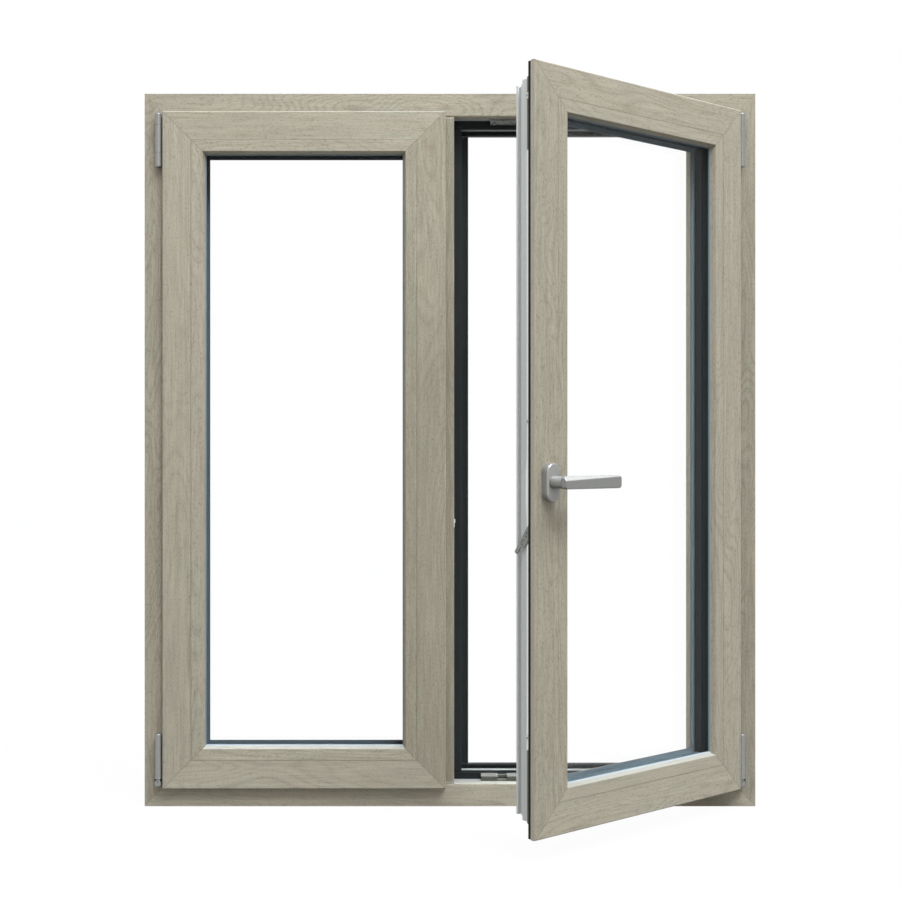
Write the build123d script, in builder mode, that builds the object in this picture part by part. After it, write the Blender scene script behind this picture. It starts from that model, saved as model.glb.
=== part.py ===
from build123d import *
import os

# Two-leaf inward-opening window of foiled hollow-profile plastic, seen from the room.
# X runs along the wall, Y from the room to the outside, Z up.
# The origin is in the middle of the frame's flat underside.

# Outer frame
frame_width = 1200.0
frame_height = 1400.0
frame_depth = 76.0
frame_room_leg = 45.5       # height of the profile at the room face
frame_round = 3.5
frame_dam = 60.5            # height at the centre seal
frame_outer_leg = 70.0      # height at the outer leg
frame_outer_round = 2.0
centre_seal_gap = 2.0       # leaf's step to the dam behind the centre seal
stop_seal_gap = 4.0         # leaf's outer face to the frame's outer leg
clip_groove_width = 6.0     # grooves for extension profiles round the outside
clip_groove_depth = 3.0
clip_groove_inset = 12.0    # room or outer face to the near side of a groove

# Leaves
sash_overlap = 8.0          # how far a leaf laps over the frame
sash_proud = 16.0           # how far a leaf stands in front of the frame
sash_depth = 76.0
sash_flange = 11.5          # thickness of the lapping flange
sash_round = 2.5
flange_round = 1.0
lip_round = 1.5
sash_core_edge = 22.0       # flange edge to the hardware face
sash_outer_edge = 28.0      # flange edge to the outer part of the profile
sash_step_depth = 54.0      # room face to the step that meets the centre seal
sash_face = 56.0            # width of the room face, up to the glazing bead
sash_outer_face = 79.0      # flange edge to the outer sight line
sash_leg_thickness = 13.5   # outer glazing leg
sash_leg_slope = 5.0        # how far the outer leg leans towards the glass
outer_lip = 5.0             # lip along the outer edge, then a groove
outer_groove_width = 8.0
outer_groove_depth = 2.5
groove_width = 12.0         # hardware groove in the leaf's edge
groove_depth = 9.0
groove_middle = 32.0        # room face of the leaf to the middle of the groove
passive_free_edge = -8.4    # X of the passive leaf's free edge, shut
active_free_edge = 0.0      # X of the active leaf's free edge, shut
opening_angle = 41.0        # degrees that the active leaf stands open

# Glazing
bead_face = 22.5
bead_depth = 10.5
bead_slope = 4.3            # how far the bead's bevel leans towards the glass
bead_joint = 0.4
bead_round = 1.5
bead_joint_round = 0.6
bead_foot = 3.5
bead_hook = 2.0
pane_thickness = 4.0
pane_gap = 16.0
pane_cover = 17.0           # depth of the glass edge behind the bead's face edge
spacer_sight = 1.5          # spacer's sight line, outside the bead's face edge
glazing_seal = 4.0
seal_lip = 1.8
seal_lap = 2.5              # room seal's cover behind the bead

# Seals
seal_base = 4.0
seal_lip_step = 1.5
flange_seal_inset = 0.8
flange_seal_width = 6.5
flange_seal_free = 6.0      # height of the lapping seal on the open leaf
seal_clearance = 0.2

# Floating mullion, fixed to the passive leaf
mullion_edge = 8.0          # X of its room strip's free edge
mullion_outer_lap = 8.5     # lap of its outer strip over a leaf
mullion_leg = 28.5          # room strip's edge to the outer strip's edge
mullion_end_gap = 0.5
mullion_cap = 3.0
mullion_round = 1.5
mullion_dam_clearance = 2.0
mullion_plate_length = 60.0
mullion_pocket = 3.0        # depth of the pockets for plates and lever
pocket_clearance = 0.3
cam_slot_length = 40.0
cam_slot_width = 12.0
cam_slot_depth = 2.0
passive_lever_length = 90.0
passive_lever_width = 10.0
passive_lever_drop = 82.0   # spindle down to the lever's finger tip
passive_tip_stand = 2.4     # how far the tip stands out of the rebate
passive_tip_height = 6.5
passive_bend_stand = 1.0
passive_bend_height = 9.0

# Hinges
hinge_axis_out = 8.5        # leaf's edge to the hinge pin
hinge_axis_proud = 10.0     # frame's room face to the hinge pin
barrel_diameter = 13.0
collar_diameter = 15.5
knuckle_gap = 0.3
foot_width = 6.0
strap_thickness = 2.5
strap_return = 32.0         # strap's leg along the leaf's edge
strap_tail = 2.0
strap_clearance = 0.1
barrel_edge = 0.4           # broken edge where two knuckles meet
barrel_end = 2.8            # rounding of a hinge's free ends
crown_notches = 8           # V notches round the top of a bearing
crown_width = 4.6
crown_depth = 6.0
crown_wall = 2.2
top_hinge_inset = 3.0       # leaf's top edge to the top of the hinge
top_knuckle = 23.5
middle_knuckle = 54.5
low_knuckle = 27.5
bottom_hinge_inset = 5.0    # leaf's bottom edge to the underside of the bearing
bearing_height = 13.5
sleeve_height = 88.5

# Handle, on the active leaf
handle_height = 645.0
handle_backset = 31.0       # leaf's free edge to the spindle
rosette_width = 31.0
rosette_height = 66.0
rosette_thickness = 15.0
rosette_round = 2.4
neck_base = 22.5            # diameters of the neck at the rosette and at the grip
neck_end = 20.5
handle_standoff = 48.0      # leaf's face to the middle of the grip
grip_reach = 128.0          # spindle to the grip's tip
grip_root = 10.8            # spindle to the grip's root end
grip_height = 22.5
grip_thickness = 12.0
grip_tip_thickness = 8.5
grip_facet_rise = 8.5       # facet on the upper edge: its height at the root
grip_facet_run = 6.5        # and its depth, dying out towards the tip
grip_facet_tip = 2.0
grip_edge_round = 1.6
grip_tip_round = 6.0

# Espagnolette in the active leaf's free edge
rail_width = 16.0
rail_thickness = 3.0
rail_core_width = 10.0
rail_core_depth = 5.0
rail_end_gap = 1.0
drive_width = 12.0          # corner drives, above and below the faceplate
drive_thickness = 4.3
drive_leg = 128.0
drive_round = 5.0
stay_length = 380.0         # the upper drive's leg along the leaf's top edge
cam_diameter = 10.8
cam_height = 7.0
cam_chamfer = 1.2
cam_socket = 4.4
cam_socket_depth = 2.2
cam_inset = 92.0            # frame's outer edge to the top cam
low_cam_inset = 206.0       # frame's outer edge to the bottom cam
cam_rise = 104.0            # spindle to the middle cam
gearbox_drop = 12.0         # gearbox cover's middle, below the spindle
gearbox_length = 50.0
gearbox_taper = 30.0
gearbox_thickness = 2.2
lifter_drop = 80.0          # lifter's pivot, below the spindle
lifter_head = 6.0           # lever's reach above the pivot
lifter_length = 55.0        # pivot to tip
lifter_back = 5.0           # pivot to the straight edge
lifter_belly = 11.0         # pivot to the other edge, where the lever is widest
lifter_finger_width = 7.5
lifter_finger_length = 16.0
lifter_shoulder = 8.0       # length of the slant from the finger to the body
lifter_round = 1.5
lifter_angle = 36.0
lifter_thickness = 2.5
lifter_holes = ((0.0, 9.6), (2.5, 15.1))  # across from the pivot, and along to the tip
lifter_hole = 3.0
lifter_slot_place = (1.5, 29.5)
lifter_slot = 11.0
lifter_slot_width = 5.5

# Strikers on the frame's rebate
striker_depth = 18.0
striker_front = 17.0        # frame's room face to the striker
striker_plate = 3.0
striker_block = 33.0
striker_gap = 18.5
striker_height = 10.5
striker_round = 1.2
striker_lip = 1.5           # raised lip at the back of a block
striker_lip_depth = 5.0
bridge_depth = 7.0          # bar that joins the blocks at the back
bridge_low = 5.0
sill_striker_x = 61.5
head_striker_x = 80.0
head_striker_length = 50.5
head_striker_front = 5.0    # height of its room edge
head_striker_back = 8.5     # height at the back
head_notch = 4.0
screw_head = 6.0
screw_stand = 1.2
screw_inset = 8.5

room_face = -frame_depth / 2
outer_face = frame_depth / 2
sash_edge_x = frame_width / 2 - frame_room_leg + sash_overlap
passive_width = sash_edge_x + passive_free_edge
active_width = sash_edge_x - active_free_edge
sash_back = sash_depth - sash_proud
frame_dam_depth = sash_step_depth - sash_proud + centre_seal_gap
frame_leg_depth = sash_back + stop_seal_gap
sash_low = frame_room_leg - sash_overlap
sash_high = frame_height - sash_low
sash_height = sash_high - sash_low
cam_levels = (low_cam_inset, handle_height + cam_rise, frame_height - cam_inset)
bead_edge = sash_face + bead_face
glass_edge = bead_edge - pane_cover
glass_front = bead_depth + glazing_seal
unit_depth = 3 * pane_thickness + 2 * pane_gap
glass_back = glass_front + unit_depth
leg_front = sash_depth - sash_leg_thickness
hinge_x = sash_edge_x + hinge_axis_out
hinge_y = room_face - hinge_axis_proud

os.makedirs("parts", exist_ok=True)


def keep(part, name):
    """Label a finished piece and write it."""
    part.label = name
    export_step(part, f"parts/{name}.step")


def edge_planes(base, width, height):
    """Planes on the four outer edges: X to the middle, Y to the outside, Z along the edge."""
    across, deep, up = base.x_dir, base.y_dir, base.z_dir
    edges = {}
    for name, inward, reach, length in (
        ("top", up * -1, height / 2, width),
        ("bottom", up, height / 2, width),
        ("left", across, width / 2, height),
        ("right", across * -1, width / 2, height),
    ):
        middle = base.origin - inward * reach
        edges[name] = (Plane(origin=middle, x_dir=inward, z_dir=inward.cross(deep)), length)
    return edges


def mitred_bar(edge, outline, rounded=()):
    """A bar of the given section, cut at 45 degrees at both ends."""
    plane, length = edge
    with BuildPart() as bar:
        with BuildSketch(plane) as section:
            with BuildLine():
                Polyline(*outline, close=True)
            make_face()
            for corner, radius in rounded:
                fillet(section.vertices().sort_by_distance((*corner, 0))[0], radius)
        extrude(amount=length / 2, both=True)
        for end in (1, -1):
            tip = plane.from_local_coords((0, 0, end * length / 2))
            mitre = Plane(origin=tip, z_dir=plane.x_dir + plane.z_dir * end)
            split(bisect_by=mitre, keep=Keep.BOTTOM)
    return bar.part


def ring(edges, outline, rounded=()):
    """The four mitred bars of one section, joined at the corners."""
    sides = [mitred_bar(edge, outline, rounded) for edge in edges.values()]
    with BuildPart() as joined:
        add(sides)
    return joined.part


# Sections, as points inward from the outer edge and back from the room face
frame_section = [
    (0, 0),
    (frame_room_leg, 0),
    (frame_room_leg, frame_dam_depth),
    (frame_dam, frame_dam_depth),
    (frame_dam, frame_leg_depth),
    (frame_outer_leg, frame_leg_depth),
    (frame_outer_leg, frame_depth),
    (0, frame_depth),
    (0, frame_depth - clip_groove_inset),
    (clip_groove_depth, frame_depth - clip_groove_inset),
    (clip_groove_depth, frame_depth - clip_groove_inset - clip_groove_width),
    (0, frame_depth - clip_groove_inset - clip_groove_width),
    (0, clip_groove_inset + clip_groove_width),
    (clip_groove_depth, clip_groove_inset + clip_groove_width),
    (clip_groove_depth, clip_groove_inset),
    (0, clip_groove_inset),
]
frame_rounded = [((frame_room_leg, 0), frame_round), ((frame_outer_leg, frame_depth), frame_outer_round)]

sash_outer_in_frame = sash_low + sash_outer_edge
sash_core_in_frame = sash_low + sash_core_edge
sash_step_in_frame = sash_step_depth - sash_proud
centre_seal = [
    (frame_room_leg, frame_dam_depth - seal_base),
    (sash_core_in_frame - seal_lip_step, frame_dam_depth - seal_base),
    (sash_core_in_frame, sash_step_in_frame + seal_clearance),
    (frame_dam + seal_lip_step, sash_step_in_frame + seal_clearance),
    (frame_dam + seal_lip_step, frame_dam_depth - seal_clearance),
    (frame_dam, frame_dam_depth),
    (frame_room_leg, frame_dam_depth),
]
stop_seal = [
    (frame_dam, frame_leg_depth),
    (frame_dam, frame_leg_depth - seal_lip_step),
    (sash_outer_in_frame, frame_leg_depth - seal_lip_step),
    (sash_outer_in_frame + seal_lip_step, sash_back + seal_clearance),
    (frame_outer_leg - seal_lip_step, sash_back + seal_clearance),
    (frame_outer_leg - seal_clearance, frame_leg_depth),
]

groove_front = groove_middle - groove_width / 2
groove_back = groove_middle + groove_width / 2
sash_section = [
    (0, 0),
    (sash_face, 0),
    (sash_face, leg_front),
    (sash_outer_face + sash_leg_slope, leg_front),
    (sash_outer_face, sash_depth),
    (sash_outer_edge, sash_depth),
    (sash_outer_edge, sash_depth - outer_lip),
    (sash_outer_edge + outer_groove_depth, sash_depth - outer_lip),
    (sash_outer_edge + outer_groove_depth, sash_depth - outer_lip - outer_groove_width),
    (sash_outer_edge, sash_depth - outer_lip - outer_groove_width),
    (sash_outer_edge, sash_step_depth),
    (sash_core_edge, sash_step_depth),
    (sash_core_edge, groove_back),
    (sash_core_edge + groove_depth, groove_back),
    (sash_core_edge + groove_depth, groove_front),
    (sash_core_edge, groove_front),
    (sash_core_edge, sash_flange),
    (0, sash_flange),
]
sash_rounded = [
    ((0, 0), sash_round),
    ((0, sash_flange), flange_round),
    ((sash_outer_edge, sash_depth), lip_round),
]

bead_section = [
    (sash_face + bead_joint, 0),
    (bead_edge, 0),
    (bead_edge + bead_slope, bead_depth),
    (sash_face + bead_joint + bead_foot, bead_depth),
    (sash_face + bead_joint + bead_foot, glass_front + bead_hook),
    (sash_face + bead_joint, glass_front + bead_hook),
]
bead_rounded = [((bead_edge, 0), bead_round), ((sash_face + bead_joint, 0), bead_joint_round)]

seal_sight = bead_edge + bead_slope + seal_lip
room_seal = [
    (bead_edge - seal_lap, bead_depth),
    (bead_edge + bead_slope, bead_depth),
    (seal_sight, bead_depth + seal_lip_step),
    (seal_sight, glass_front),
    (bead_edge - seal_lap, glass_front),
]
outer_seal = [
    (bead_edge - seal_lap, glass_back),
    (seal_sight, glass_back),
    (bead_edge + bead_slope, leg_front),
    (bead_edge - seal_lap, leg_front),
]


def flange_seal(stand):
    """Lapping seal on the back of the flange, as high as it stands free or pressed."""
    near, far = flange_seal_inset, flange_seal_inset + flange_seal_width
    return [
        (near, sash_flange),
        (far, sash_flange),
        (far, sash_flange + stand / 2),
        (near + flange_seal_width / 2, sash_flange + stand),
        (near, sash_flange + stand),
    ]


def spacer_section(layer):
    """Edge spacer and sealant between two panes."""
    front = glass_front + pane_thickness + layer * (pane_thickness + pane_gap)
    sight = bead_edge - spacer_sight
    return [
        (glass_edge, front),
        (sight, front),
        (sight, front + pane_gap),
        (glass_edge, front + pane_gap),
    ]


# Outer frame
frame_plane = Plane(origin=(0, room_face, frame_height / 2), x_dir=(1, 0, 0), z_dir=(0, 0, 1))
frame_edges = edge_planes(frame_plane, frame_width, frame_height)
for side, name in (
    ("top", "frame_head"),
    ("bottom", "frame_sill"),
    ("left", "frame_jamb_left"),
    ("right", "frame_jamb_right"),
):
    keep(mitred_bar(frame_edges[side], frame_section, frame_rounded), name)
with BuildPart() as frame_seals:
    add(ring(frame_edges, centre_seal))
    add(ring(frame_edges, stop_seal))
keep(frame_seals.part, "frame_seals")


def build_sash(name, base, width, hinge_side, seal_stand):
    """One leaf: four mitred bars, four beads, seals and the sealed triple glazing."""
    edges = edge_planes(base, width, sash_height)
    free_side = "right" if hinge_side == "left" else "left"
    for side, piece in (
        ("top", "top_rail"),
        ("bottom", "bottom_rail"),
        (hinge_side, "hinge_stile"),
        (free_side, "free_stile"),
    ):
        keep(mitred_bar(edges[side], sash_section, sash_rounded), f"{name}_{piece}")
        bead_name = piece.split("_")[0]
        keep(mitred_bar(edges[side], bead_section, bead_rounded), f"{name}_{bead_name}_bead")
    hinge_edge = edges[hinge_side][0]
    with BuildPart() as seals:
        add(ring(edges, flange_seal(seal_stand)))
        for low, high in (sleeve_span, middle_span):
            notch = Plane(origin=hinge_edge.origin, x_dir=hinge_edge.x_dir, z_dir=(0, 0, 1))
            with BuildSketch(notch.offset((low + high) / 2 - hinge_edge.origin.Z)):
                Rectangle(2 * sash_core_edge, 2 * sash_depth)
            extrude(amount=(high - low) / 2 + knuckle_gap, both=True, mode=Mode.SUBTRACT)
        add(ring(edges, room_seal))
        add(ring(edges, outer_seal))
    keep(seals.part, f"{name}_seals")
    with BuildPart() as panes:
        for layer in range(3):
            front = glass_front + layer * (pane_thickness + pane_gap)
            sheet = Plane(
                origin=base.from_local_coords((0, front, 0)), x_dir=base.x_dir, z_dir=base.y_dir
            )
            with BuildSketch(sheet):
                Rectangle(width - 2 * glass_edge, sash_height - 2 * glass_edge)
            extrude(amount=pane_thickness)
    keep(panes.part, f"{name}_glass_panes")
    with BuildPart() as spacers:
        for layer in range(2):
            add(ring(edges, spacer_section(layer)))
    keep(spacers.part, f"{name}_glass_spacers")


# Hinge levels: each pair is the underside and the top of one knuckle
sash_room_face = room_face - sash_proud
high_span = (sash_high - top_hinge_inset - top_knuckle, sash_high - top_hinge_inset)
middle_span = (high_span[0] - knuckle_gap - middle_knuckle, high_span[0] - knuckle_gap)
low_span = (middle_span[0] - knuckle_gap - low_knuckle, middle_span[0] - knuckle_gap)
bearing_span = (sash_low + bottom_hinge_inset, sash_low + bottom_hinge_inset + bearing_height)
sleeve_span = (bearing_span[1] + knuckle_gap, bearing_span[1] + knuckle_gap + sleeve_height)

passive_plane = Plane(
    origin=((passive_free_edge - sash_edge_x) / 2, sash_room_face, frame_height / 2),
    x_dir=(1, 0, 0),
    z_dir=(0, 0, 1),
)
active_pin = Location((hinge_x, hinge_y, frame_height / 2), (0, 0, opening_angle))
active_place = Location((-hinge_axis_out - active_width / 2, hinge_axis_proud - sash_proud, 0))
active_plane = Plane(active_pin * active_place)
pressed_seal = sash_proud - sash_flange - seal_clearance
build_sash("passive", passive_plane, passive_width, "left", pressed_seal)
build_sash("active", active_plane, active_width, "right", flange_seal_free)

# Floating mullion: a section across X and Y, run up the passive leaf's free edge
strip_left = passive_free_edge - sash_overlap
core_left = passive_free_edge - sash_core_edge
outer_left = passive_free_edge - sash_outer_edge
mullion_dam = mullion_edge + frame_dam - frame_room_leg
mullion_leg_edge = mullion_edge + mullion_leg
mullion_section = [
    (strip_left, room_face),
    (mullion_edge, room_face),
    (mullion_edge, room_face + frame_dam_depth),
    (mullion_dam, room_face + frame_dam_depth),
    (mullion_dam, room_face + frame_leg_depth),
    (mullion_leg_edge, room_face + frame_leg_depth),
    (mullion_leg_edge, outer_face),
    (outer_left - mullion_outer_lap, outer_face),
    (outer_left - mullion_outer_lap, room_face + frame_leg_depth),
    (core_left, room_face + frame_leg_depth),
    (core_left, room_face + sash_flange),
    (strip_left, room_face + sash_flange),
]
mullion_rounded = [((mullion_edge, room_face), mullion_round)]
mullion_half = frame_height / 2 - frame_room_leg - mullion_end_gap - mullion_cap
dam_half = frame_height / 2 - frame_dam - mullion_dam_clearance
leg_half = frame_height / 2 - frame_outer_leg - mullion_dam_clearance
cap_back = frame_dam_depth - seal_base - seal_clearance
rebate_plane = Plane(
    origin=(mullion_edge, room_face + striker_front + striker_depth / 2, frame_height / 2),
    x_dir=(0, 1, 0),
    z_dir=(1, 0, 0),
)
lever_level = handle_height - passive_lever_drop - frame_height / 2
plate_pockets = [
    (level - frame_height / 2, striker_depth, mullion_plate_length) for level in cam_levels
]
lever_pocket = (lever_level - passive_lever_length / 2, passive_lever_width, passive_lever_length)


def pocket_fill(pockets, clearance):
    """Rectangles on the mullion's rebate face: level, width and length of each."""
    with BuildSketch(rebate_plane) as filled:
        for level, width, length in pockets:
            with Locations((0, level)):
                Rectangle(width - 2 * clearance, length - 2 * clearance)
    return filled.sketch


with BuildPart() as mullion:
    with BuildSketch(Plane.XY.offset(frame_height / 2)) as mullion_sketch:
        with BuildLine():
            Polyline(*mullion_section, close=True)
        make_face()
        for corner, radius in mullion_rounded:
            fillet(mullion_sketch.vertices().sort_by_distance((*corner, 0))[0], radius)
    extrude(amount=mullion_half, both=True)
    for depth_from, half in ((cap_back, dam_half), (frame_leg_depth - seal_base, leg_half)):
        for end in (1, -1):
            with BuildSketch(Plane.XY.offset(frame_height / 2 + end * half)):
                with Locations((0, room_face + depth_from + frame_depth / 2)):
                    Rectangle(4 * mullion_leg_edge, frame_depth)
            extrude(amount=end * frame_room_leg, mode=Mode.SUBTRACT)
    extrude(pocket_fill([*plate_pockets, lever_pocket], 0), amount=-mullion_pocket, mode=Mode.SUBTRACT)
keep(mullion.part, "floating_mullion")

with BuildPart() as mullion_caps:
    for end in (1, -1):
        level = frame_height / 2 + end * mullion_half
        with BuildSketch(Plane.XY.offset(level)):
            with BuildLine():
                Polyline(
                    (strip_left, room_face),
                    (mullion_edge, room_face),
                    (mullion_edge, room_face + cap_back),
                    (core_left, room_face + cap_back),
                    (core_left, room_face + sash_flange),
                    (strip_left, room_face + sash_flange),
                    close=True,
                )
            make_face()
        extrude(amount=end * mullion_cap)
keep(mullion_caps.part, "mullion_end_caps")

mullion_dam_seal = [
    (mullion_edge, room_face + frame_dam_depth - seal_base),
    (mullion_dam - seal_lip_step, room_face + frame_dam_depth - seal_base),
    (mullion_dam, room_face + frame_dam_depth - seal_lip_step),
    (mullion_dam, room_face + frame_dam_depth),
    (mullion_edge, room_face + frame_dam_depth),
]
mullion_leg_seal = [
    (mullion_dam, room_face + frame_leg_depth),
    (mullion_dam, room_face + frame_leg_depth - seal_lip_step),
    (mullion_leg_edge - 2 * seal_lip_step, room_face + frame_leg_depth - seal_lip_step),
    (mullion_leg_edge - seal_lip_step, room_face + sash_back + seal_clearance),
    (mullion_leg_edge - seal_clearance, room_face + frame_leg_depth),
]
with BuildPart() as mullion_seals:
    for outline, half in ((mullion_dam_seal, dam_half), (mullion_leg_seal, leg_half)):
        with BuildSketch(Plane.XY.offset(frame_height / 2)):
            with BuildLine():
                Polyline(*outline, close=True)
            make_face()
        extrude(amount=half, both=True)
keep(mullion_seals.part, "mullion_seals")

with BuildPart() as mullion_strikers:
    extrude(pocket_fill(plate_pockets, pocket_clearance), amount=-mullion_pocket)
    with BuildSketch(rebate_plane):
        with Locations(*[(0, level) for level, _, _ in plate_pockets]):
            SlotOverall(cam_slot_length, cam_slot_width, rotation=90)
    extrude(amount=-cam_slot_depth, mode=Mode.SUBTRACT)
keep(mullion_strikers.part, "mullion_strikers")

with BuildPart() as passive_lever:
    extrude(pocket_fill([lever_pocket], pocket_clearance), amount=-mullion_pocket)
    for stand, height in (
        (passive_tip_stand, passive_tip_height),
        (passive_bend_stand, passive_tip_height + passive_bend_height),
    ):
        with BuildSketch(rebate_plane):
            with Locations((0, lever_level - pocket_clearance - height / 2)):
                Rectangle(passive_lever_width - 2 * pocket_clearance, height)
        extrude(amount=stand)
keep(passive_lever.part, "mullion_lever")


def barrel(x, span, diameter, low_round=barrel_edge, high_round=barrel_edge):
    """An upright turned barrel, its lower and upper edges rounded."""
    low, high = span
    with BuildPart() as turned:
        with BuildSketch(Plane.XY.offset(low)):
            with Locations((x, hinge_y)):
                Circle(diameter / 2)
        extrude(amount=high - low)
        fillet(turned.edges().filter_by(GeomType.CIRCLE).sort_by(Axis.Z)[0], low_round)
        fillet(turned.edges().filter_by(GeomType.CIRCLE).sort_by(Axis.Z)[-1], high_round)
    return turned.part


def bearing(x):
    """The ring that carries the bottom hinge, notched round its top like a crown."""
    with BuildPart() as crown:
        add(barrel(x, bearing_span, collar_diameter, barrel_end))
        for notch in range(crown_notches):
            ring_place = Location((x, hinge_y, bearing_span[1]), (0, 0, 360 * notch / crown_notches))
            wall = Location((0, -collar_diameter / 2, 0), (90, 0, 0))
            with BuildSketch(Plane(ring_place * wall)):
                with BuildLine():
                    Polyline(
                        (-crown_width / 2, 0), (crown_width / 2, 0), (0, -crown_depth), close=True
                    )
                make_face()
            extrude(amount=-crown_wall, mode=Mode.SUBTRACT)
    return crown.part


def frame_foot(x, span):
    """The foot that carries a barrel on the frame's room face."""
    low, high = span
    with BuildPart() as foot:
        with BuildSketch(Plane.XY.offset(low + barrel_end)):
            with Locations((x, (hinge_y + room_face) / 2)):
                Rectangle(foot_width, hinge_axis_proud)
        extrude(amount=high - low - 2 * barrel_end)
    return foot.part


def sash_strap(side, span, angle):
    """The strap from the barrel round into the leaf's edge, turned with the leaf."""
    low, high = span
    pin = Location((side * hinge_x, hinge_y, low + barrel_end), (0, 0, angle))
    reach = hinge_axis_out + sash_core_edge
    front = hinge_axis_proud - sash_proud + sash_flange + strap_clearance
    with BuildPart() as strap:
        with BuildSketch(Plane(pin)):
            with Locations((side * (strap_tail - reach) / 2, front + strap_thickness / 2)):
                Rectangle(strap_tail + reach, strap_thickness)
            with Locations((-side * (reach - strap_thickness / 2), front + strap_return / 2)):
                Rectangle(strap_thickness, strap_return)
        extrude(amount=high - low - 2 * barrel_end)
    return strap.part


def build_hinges(name, side, angle):
    """Top hinge with three knuckles, bottom hinge with one sleeve."""
    x = side * hinge_x
    with BuildPart() as top_hinge:
        add(barrel(x, high_span, barrel_diameter, high_round=barrel_end))
        add(barrel(x, low_span, barrel_diameter, low_round=barrel_end))
        for span in (low_span, high_span):
            add(frame_foot(x, span))
        add(barrel(x, middle_span, barrel_diameter))
        add(sash_strap(side, middle_span, angle))
    keep(top_hinge.part, f"{name}_top_hinge")
    with BuildPart() as bottom_hinge:
        add(barrel(x, sleeve_span, barrel_diameter, high_round=barrel_end))
        add(sash_strap(side, sleeve_span, angle))
    keep(bottom_hinge.part, f"{name}_bottom_hinge")


build_hinges("passive", -1, 0)
build_hinges("active", 1, opening_angle)
with BuildPart() as bearings:
    for x in (-hinge_x, hinge_x):
        add(bearing(x))
        add(frame_foot(x, bearing_span))
keep(bearings.part, "hinge_bearings")


def active_point(inward, back, height):
    """A place on the active leaf: from its free edge, from its room face, above the sill."""
    return active_plane.from_local_coords(
        (-active_width / 2 + inward, back, height - frame_height / 2)
    )


into_leaf = active_plane.x_dir
through_leaf = active_plane.y_dir
to_room = through_leaf * -1

# Handle: rosette, then the neck and grip in one piece, turned to the open position
rosette_plane = Plane(
    origin=active_point(handle_backset, 0, handle_height), x_dir=into_leaf, z_dir=to_room
)
with BuildPart() as rosette:
    with BuildSketch(rosette_plane):
        SlotOverall(rosette_height, rosette_width, rotation=90)
    extrude(amount=rosette_thickness)
    rim = rosette.faces().sort_by(Axis(rosette_plane.origin, to_room))[-1].edges()
    chamfer(rim, rosette_round)
keep(rosette.part, "handle_rosette")


def grip_section(along, thickness, rise, run):
    """A section across the grip: a bar with one upper edge cut to a facet."""
    place = Plane(
        origin=active_point(handle_backset + along, -handle_standoff, handle_height),
        x_dir=(0, 0, 1),
        z_dir=into_leaf,
    )
    half, front = grip_height / 2, thickness / 2
    with BuildSketch(place) as section:
        with BuildLine():
            Polyline(
                (-half, -front),
                (half, -front),
                (half, front - run),
                (half - rise, front),
                (-half, front),
                close=True,
            )
        make_face()
        fillet(section.vertices(), grip_edge_round)
    return section.sketch


with BuildPart() as lever:
    loft(
        [
            grip_section(-grip_root, grip_thickness, grip_facet_rise, grip_facet_run),
            grip_section(grip_reach, grip_tip_thickness, grip_facet_tip, grip_facet_tip),
        ]
    )
    with BuildSketch(rosette_plane):
        with Locations(((grip_reach - grip_root) / 2, 0)):
            RectangleRounded(grip_reach + grip_root, grip_height, grip_tip_round)
    extrude(amount=handle_standoff + grip_thickness, mode=Mode.INTERSECT)
    with BuildSketch(rosette_plane.offset(rosette_thickness)):
        Circle(neck_base / 2)
    with BuildSketch(rosette_plane.offset(handle_standoff)):
        Circle(neck_end / 2)
    loft()
keep(lever.part, "handle_lever")

# Espagnolette: X to the room, Y up and Z out of the leaf's edge on this plane
edge_plane = Plane(
    origin=active_point(sash_core_edge, groove_middle, frame_height / 2),
    x_dir=to_room,
    z_dir=into_leaf * -1,
)
drive_inset = sash_core_edge - drive_thickness
rail_half = sash_height / 2 - drive_inset - drive_leg - rail_end_gap
with BuildPart() as rail:
    with BuildSketch(edge_plane):
        Rectangle(rail_width, 2 * rail_half)
    extrude(amount=rail_thickness)
    with BuildSketch(edge_plane):
        Rectangle(rail_core_width, 2 * rail_half)
    extrude(amount=-rail_core_depth)
    cover_middle = handle_height - gearbox_drop - frame_height / 2
    cover_half = gearbox_length / 2
    cover_plane = Plane(origin=edge_plane.origin, x_dir=(0, 0, 1), z_dir=to_room)
    with BuildSketch(cover_plane):
        with BuildLine():
            Polyline(
                (cover_middle - cover_half - gearbox_taper, rail_thickness),
                (cover_middle - cover_half, rail_thickness + gearbox_thickness),
                (cover_middle + cover_half, rail_thickness + gearbox_thickness),
                (cover_middle + cover_half + gearbox_taper, rail_thickness),
                close=True,
            )
        make_face()
    extrude(amount=rail_width / 2, both=True)
keep(rail.part, "espagnolette_rail")

with BuildPart() as drives:
    for end, rail_leg in ((1, stay_length), (-1, drive_leg)):
        corner = Plane(
            origin=active_plane.from_local_coords(
                (-active_width / 2, groove_middle - end * drive_width / 2, end * sash_height / 2)
            ),
            x_dir=into_leaf,
            z_dir=through_leaf * end,
        )
        with BuildSketch(corner) as drive:
            with BuildLine():
                Polyline(
                    (drive_inset, drive_inset + drive_leg),
                    (drive_inset, drive_inset),
                    (drive_inset + rail_leg, drive_inset),
                    (drive_inset + rail_leg, sash_core_edge),
                    (sash_core_edge, sash_core_edge),
                    (sash_core_edge, drive_inset + drive_leg),
                    close=True,
                )
            make_face()
            fillet(drive.vertices().sort_by_distance((drive_inset, drive_inset, 0))[0], drive_round)
        extrude(amount=drive_width)
keep(drives.part, "corner_drives")

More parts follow.
